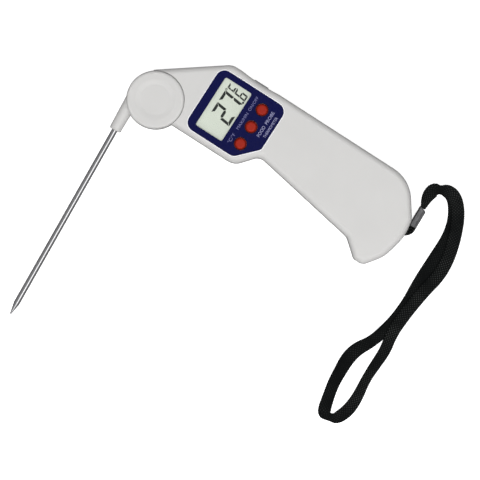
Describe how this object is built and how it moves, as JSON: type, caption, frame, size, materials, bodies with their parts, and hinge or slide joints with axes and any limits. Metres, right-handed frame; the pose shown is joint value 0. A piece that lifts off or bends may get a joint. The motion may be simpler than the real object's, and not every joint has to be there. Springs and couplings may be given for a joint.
{
  "type": "meat thermometer",
  "caption": "Folding digital probe thermometer with a side display, push buttons, a swinging steel probe, a side battery drawer and a woven wrist strap.",
  "frame": {"origin": "pivot axis of the probe hub, on the plane of the rear face that the thermometer lies on", "axes": "+Z out of the display face, +X along the housing from the hub to the lanyard end, +Y towards the battery drawer's side; the probe points towards -Y at rest"},
  "size_m": [0.2126, 0.1989, 0.0212],
  "materials": {
    "housing_plastic": "fine-textured warm grey-white ABS",
    "panel_navy": "smooth printed navy panel",
    "lens_clear": "clear acrylic window",
    "lcd_pale": "pale green-grey display glass",
    "lcd_ink": "near-black display segments",
    "inner_plastic": "moulded white carrier",
    "zebra_rubber": "striped elastomer",
    "pcb_green": "solder-masked board",
    "chip_black": "moulded packages",
    "steel_polished": "polished stainless steel",
    "screw_steel": "zinc-plated steel",
    "spring_brass": "nickel-flashed spring brass",
    "acetal": "natural acetal",
    "seal_rubber": "black nitrile rubber",
    "button_red": "red-orange soft-touch cap",
    "lead_wire": "insulated wire",
    "bead_epoxy": "potted sensor",
    "strap_woven": "black woven tubular ribbon",
    "ferrule_grey": "dull crimped metal"
  },
  "bodies": {
    "housing": {"front_shell": "housing_plastic", "rear_shell": "housing_plastic", "bezel_panel": "panel_navy", "lcd_window": "lens_clear", "lcd_glass": "lcd_pale", "lcd_segments": "lcd_ink", "lcd_frame": "inner_plastic", "zebra_strips": "zebra_rubber", "main_pcb": "pcb_green", "pcb_chips": "chip_black", "tact_switches": "chip_black", "pcb_screws": "screw_steel", "battery_contact_plus": "spring_brass", "battery_contact_minus": "spring_brass", "pivot_bush": "acetal", "pivot_cover": "housing_plastic", "board_leads": "lead_wire", "shell_screws": "screw_steel", "lanyard_post": "steel_polished", "cord_stub": "strap_woven", "ferrule": "ferrule_grey", "strap_gather": "strap_woven", "strap_outer_leg": "strap_woven", "strap_inner_leg": "strap_woven", "strap_fold": "strap_woven"},
    "probe_arm": {"probe_hub": "housing_plastic", "hub_cap": "housing_plastic", "pivot_spindle": "steel_polished", "retaining_clip": "screw_steel", "wave_washer": "screw_steel", "pivot_oring": "seal_rubber", "probe_tube": "steel_polished", "probe_tip": "steel_polished", "sensor_bead": "bead_epoxy", "sensor_leads": "lead_wire"},
    "drawer": {"battery_drawer": "housing_plastic", "coin_cell": "steel_polished"},
    "on_off_key": {"button_on_off": "button_red"},
    "max_min_key": {"button_max_min": "button_red"},
    "unit_key": {"button_unit": "button_red"}
  },
  "joints": [
    {"name": "probe_fold", "type": "hinge", "parent": "housing", "child": "probe_arm", "pos_m": [0, 0, 0.01], "axis": [0, 0, 1], "range_deg": [-93.13, 86.87]},
    {"name": "drawer_slide", "type": "slide", "parent": "housing", "child": "drawer", "axis": [0, 1, 0], "range_m": [0, 0.024]},
    {"name": "on_off_press", "type": "slide", "parent": "housing", "child": "on_off_key", "axis": [0, 0, -1], "range_m": [0, 0.0006], "stiffness_N_per_m": 600},
    {"name": "max_min_press", "type": "slide", "parent": "housing", "child": "max_min_key", "axis": [0, 0, -1], "range_m": [0, 0.0006], "stiffness_N_per_m": 600},
    {"name": "unit_press", "type": "slide", "parent": "housing", "child": "unit_key", "axis": [0, 0, -1], "range_m": [0, 0.0006], "stiffness_N_per_m": 600}
  ]
}
